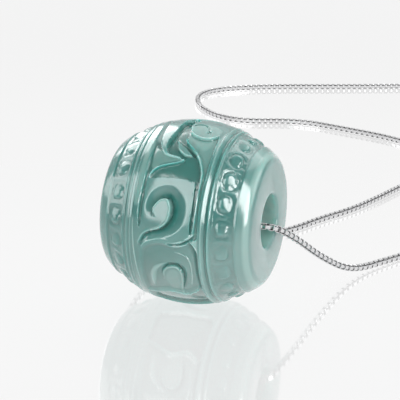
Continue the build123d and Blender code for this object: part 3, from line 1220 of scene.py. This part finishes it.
@dataclass
class BoxChain:
    """The fine box chain: square links that stand in turn on edge and flat along the route."""

    node: str = "box_chain"
    width: float = 0.68
    link_length: float = 0.58
    band: float = 0.34
    wall: float = 0.13
    pitch: float = 0.39
    corner: float = 0.05
    soft_edge: float = 0.025
    soft_angle: float = 60.0
    heading_step: float = 0.3
    hollow_share: float = 0.8
    route_steps: int = 24

    def model_link(self) -> bpy.types.Object:
        """Models one link at the origin, its length along X and its opening along Y.

        Returns:
            The link.
        """
        nothing_selected()
        bpy.ops.mesh.primitive_cube_add(size=1.0)
        link = named("link")
        link.scale = (self.link_length * MM, self.band * MM, self.width * MM)
        settle(link)
        bpy.ops.object.mode_set(mode="EDIT")
        bpy.ops.mesh.select_mode(type="FACE")
        bpy.ops.mesh.select_all(action="DESELECT")
        bpy.ops.object.mode_set(mode="OBJECT")
        # The two faces that look along Y go, which leaves the opening.
        for face in link.data.polygons:
            face.select = abs(face.normal.y) > 0.9
        bpy.ops.object.mode_set(mode="EDIT")
        bpy.ops.mesh.delete(type="FACE")
        bpy.ops.mesh.select_mode(type="EDGE")
        bpy.ops.mesh.select_all(action="DESELECT")
        bpy.ops.object.mode_set(mode="OBJECT")
        # The corners are the edges that run across the band, for more than half its width.
        for edge in link.data.edges:
            ends = [link.data.vertices[index].co for index in edge.vertices]
            edge.select = abs(ends[0].y - ends[1].y) > 0.5 * self.band * MM
        bpy.ops.object.mode_set(mode="EDIT")
        bpy.ops.mesh.bevel(offset=self.corner * MM, segments=1)
        bpy.ops.object.mode_set(mode="OBJECT")
        shell = link.modifiers.new("wall", "SOLIDIFY")
        shell.thickness = self.wall * MM
        shell.offset = -1.0
        soft = link.modifiers.new("edge", "BEVEL")
        soft.width = self.soft_edge * MM
        soft.segments = 1
        soft.limit_method = "ANGLE"
        soft.angle_limit = math.radians(self.soft_angle)
        apply_modifiers(link)
        return link

    def route(self) -> np.ndarray:
        """Reads points from the smooth route through the charted points.

        Returns:
            The points in metres, in the route's order.
        """
        curve = bpy.data.curves.new("chain_route", "CURVE")
        curve.dimensions = "3D"
        curve.resolution_u = self.route_steps
        spline = curve.splines.new("NURBS")
        spline.points.add(len(ROUTE_MM) - 1)
        for point, place in zip(spline.points, ROUTE_MM):
            point.co = (*(value * MM for value in place), 1.0)
        spline.order_u = 3
        spline.use_endpoint_u = True
        holder = bpy.data.objects.new("chain_route", curve)
        bpy.context.scene.collection.objects.link(holder)
        bpy.context.view_layer.update()
        seen = holder.evaluated_get(bpy.context.evaluated_depsgraph_get())
        mesh = bpy.data.meshes.new_from_object(seen)
        places = np.array([vertex.co[:] for vertex in mesh.vertices])
        bpy.data.meshes.remove(mesh)
        bpy.data.objects.remove(holder)
        return places

    def hollow_points(self, shape: np.ndarray) -> np.ndarray:
        """Marks a link's points that lie on its inner walls.

        Args:
            shape: The link's points, in metres.

        Returns:
            1 for each point on an inner wall and 0 for the others.
        """
        outer = np.array([self.link_length, self.width]) / 2
        inner = (outer - self.hollow_share * self.wall) * MM
        return (np.abs(shape[:, [0, 2]]) < inner).all(axis=1).astype(float)

    def lay(self, link: bpy.types.Object) -> bpy.types.Object:
        """Copies the link along the route, each quarter-turned from the one before.

        Args:
            link: The modelled link.

        Returns:
            The chain as one object.
        """
        route = self.route()
        run = np.linalg.norm(np.diff(route, axis=0), axis=1)
        distance = np.concatenate([[0.0], np.cumsum(run)])
        half_link = self.link_length / 2 * MM
        usable = distance[-1] - 2 * half_link
        count = int(usable / (self.pitch * MM)) + 1
        stations = half_link + np.arange(count) * usable / (count - 1)
        shape = np.array([vertex.co[:] for vertex in link.data.vertices])
        faces = [tuple(face.vertices) for face in link.data.polygons]
        points = []
        polygons = []
        step = self.heading_step * MM
        for number, station in enumerate(stations):
            middle, behind, ahead = (
                np.array([np.interp(place, distance, route[:, axis]) for axis in range(3)])
                for place in (station, station - step, station + step)
            )
            forward = (ahead - behind) / np.linalg.norm(ahead - behind)
            sideways = np.cross([0.0, 0.0, 1.0], forward)
            sideways /= np.linalg.norm(sideways)
            upward = np.cross(forward, sideways)
            if number % 2:
                sideways, upward = upward, -sideways
            start = len(points) * len(shape)
            points.append(shape @ np.array([forward, sideways, upward]) + middle)
            polygons += [tuple(start + index for index in face) for face in faces]
        mesh = bpy.data.meshes.new("box_chain_links")
        mesh.from_pydata(np.vstack(points).tolist(), [], polygons)
        shade = mesh.attributes.new("hollow_shade", "FLOAT", "POINT")
        shade.data.foreach_set("value", np.tile(self.hollow_points(shape), count))
        chain = bpy.data.objects.new("box_chain_links", mesh)
        bpy.context.scene.collection.objects.link(chain)
        LOG.info("chain: %d links over %.1f mm", count, distance[-1] / MM)
        return chain

    def build(self) -> bpy.types.Object:
        """Models a link, lays the chain with it and dresses it.

        Returns:
            The finished chain.
        """
        link = self.model_link()
        chain = self.lay(link)
        bpy.data.objects.remove(link)
        hand_over(chain, self.node, SilverFinish("chain_silver").build())
        return chain


@dataclass(frozen=True)
class Clasp:
    """The plain clasp, which keeps its own shape from the frame."""

    node: str = "clasp"

    def dress(self) -> None:
        """Gives the clasp its silver."""
        silver = SilverFinish("clasp_silver").build()
        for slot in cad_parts[self.node].material_slots:
            slot.material = silver
        LOG.info("%s: dressed", self.node)


@dataclass(frozen=True)
class SoftBox:
    """A soft box, with its radiance against that of a white sheet in the picture.

    It faces the point of aim, or straight down where it hangs level.
    """

    name: str
    place: Place
    size: tuple[float, float]
    radiance: float
    level: bool = False

    def hang(self, aim: Vector, spared: bpy.types.Collection) -> None:
        """Hangs the box.

        Args:
            aim: The point that it faces.
            spared: Its objects are neither lit by the box nor mirror it.
        """
        light = bpy.data.lights.new(self.name, "AREA")
        light.shape = "RECTANGLE"
        light.size, light.size_y = self.size
        light.energy = self.radiance * math.pi * self.size[0] * self.size[1]
        lamp = bpy.data.objects.new(self.name, light)
        lamp.location = self.place
        lamp.light_linking.receiver_collection = spared
        if not self.level:
            lamp.rotation_euler = (aim - Vector(self.place)).to_track_quat("-Z", "Y").to_euler()
        bpy.context.scene.collection.objects.link(lamp)


SOFT_BOXES = (
    SoftBox("front", (-0.185, -0.62, 0.37), (0.64, 0.78), 2.2),
    SoftBox("top_left", (-0.61, 0.47, 0.60), (0.51, 0.62), 2.15, level=True),
    SoftBox("back_left", (-0.46, 0.52, 0.30), (0.30, 0.34), 3.0),
    SoftBox("right", (0.626, -0.209, 0.29), (0.28, 0.80), 4.8),
    SoftBox("top_right", (0.27, 0.58, 0.60), (0.36, 0.76), 1.0, level=True),
    SoftBox("left", (-0.72, -0.04, 0.22), (0.50, 0.40), 1.6),
    SoftBox("far_right", (0.74, 0.34, 0.26), (0.56, 0.46), 1.0),
)


@dataclass
class Studio:
    """The white table, the soft lights and the camera at the photograph's angle."""

    azimuth: float = 19.3
    elevation: float = 18.0
    roll: float = 1.2
    distance: float = 170.0 * MM
    pixels_per_mm: float = 10.27
    bead_pixel: tuple[float, float] = (194.9, 211.4)
    bead_height: float = 9.0 * MM
    nearest_seen: float = 10.0 * MM
    table_reach: float = 3.0
    room_bright: float = 0.95
    room_dim: float = 0.25
    dim_side: Place = (0.31, -0.92, -0.20)
    dim_from: float = -0.90
    dim_to: float = -0.30
    room_low_share: float = 0.62
    low_from: float = 0.20
    low_to: float = 0.45

    def table(self) -> bpy.types.Collection:
        """Lays the table top.

        Returns:
            The collection that keeps the soft boxes' glare off it.
        """
        nothing_selected()
        bpy.ops.mesh.primitive_plane_add(size=2 * self.table_reach)
        table = named("table")
        table.data.materials.append(TableFinish().build())
        spared = bpy.data.collections.new("table_without_glare")
        spared.objects.link(table)
        spared.collection_objects[0].light_linking.link_state = "EXCLUDE"
        return spared

    def lights(self, spared: bpy.types.Collection) -> None:
        """Hangs the soft boxes, which leave the spared collection unlit."""
        for box in SOFT_BOXES:
            box.hang(Vector((0.0, 0.0, self.bead_height)), spared)

    def room(self) -> None:
        """Fills the room with soft white light, dimmer on the side from which the bead is seen."""
        world = bpy.data.worlds.new("room")
        world.use_nodes = True
        sheet = NodeSheet(world.node_tree)
        place = sheet.add("TexCoord")
        towards = sheet.slant(place, "Generated", self.dim_side)
        dim = sheet.add("MapRange", interpolation_type="SMOOTHSTEP")
        low = sheet.add("MapRange", interpolation_type="SMOOTHSTEP")
        limits = (
            (dim, self.dim_from, self.dim_to, self.room_bright, self.room_dim),
            (low, self.low_from, self.low_to, self.room_low_share, 1.0),
        )
        for node, *values in limits:
            for name, value in zip(("From Min", "From Max", "To Min", "To Max"), values):
                node.inputs[name].default_value = value
        height = sheet.add("SeparateXYZ")
        both = sheet.add("Math", operation="MULTIPLY")
        ground = world.node_tree.nodes["Background"]
        ground.inputs["Color"].default_value = (1.0, 1.0, 1.0, 1.0)
        sheet.join(towards, "Value", dim, "Value")
        sheet.join(place, "Generated", height, "Vector")
        sheet.join(height, "Z", low, "Value")
        sheet.join(dim, "Result", both, 0)
        sheet.join(low, "Result", both, 1)
        sheet.join(both, "Value", ground, "Strength")
        bpy.context.scene.world = world

    def camera(self) -> None:
        """Stands the camera so that the bead's middle falls on its pixel of the photograph."""
        azimuth = math.radians(self.azimuth)
        elevation = math.radians(self.elevation)
        roll = math.radians(self.roll)
        forward = Vector((
            -math.sin(azimuth) * math.cos(elevation),
            math.cos(azimuth) * math.cos(elevation),
            -math.sin(elevation),
        ))
        level = Vector((math.cos(azimuth), math.sin(azimuth), 0.0))
        upright = level.cross(forward)
        right = math.cos(roll) * level + math.sin(roll) * upright
        up = math.cos(roll) * upright - math.sin(roll) * level
        focal_pixels = self.pixels_per_mm * self.distance / MM
        offset_x = (self.bead_pixel[0] - IMAGE_PIXELS / 2) / focal_pixels * self.distance
        offset_y = (IMAGE_PIXELS / 2 - self.bead_pixel[1]) / focal_pixels * self.distance
        middle = Vector((0.0, 0.0, self.bead_height))
        place = middle - offset_x * right - offset_y * up - self.distance * forward
        lens = bpy.data.cameras.new("photo_camera")
        lens.sensor_width = SENSOR_WIDTH_MM
        lens.lens = focal_pixels * SENSOR_WIDTH_MM / IMAGE_PIXELS
        lens.clip_start = self.nearest_seen
        camera = bpy.data.objects.new("photo_camera", lens)
        turn = Matrix((right, up, -forward)).transposed().to_4x4()
        camera.matrix_world = Matrix.Translation(place) @ turn
        bpy.context.scene.collection.objects.link(camera)
        bpy.context.scene.camera = camera


def main() -> None:
    """Builds the pieces in order, dresses them and sets the studio."""
    logging.basicConfig(level=logging.INFO)
    studio = Studio()
    studio.camera()
    JadeBarrel().build()
    BoxChain().build()
    Clasp().dress()
    studio.lights(studio.table())
    studio.room()
    bpy.context.scene.view_settings.view_transform = "Standard"


if __name__ == "__main__":
    main()
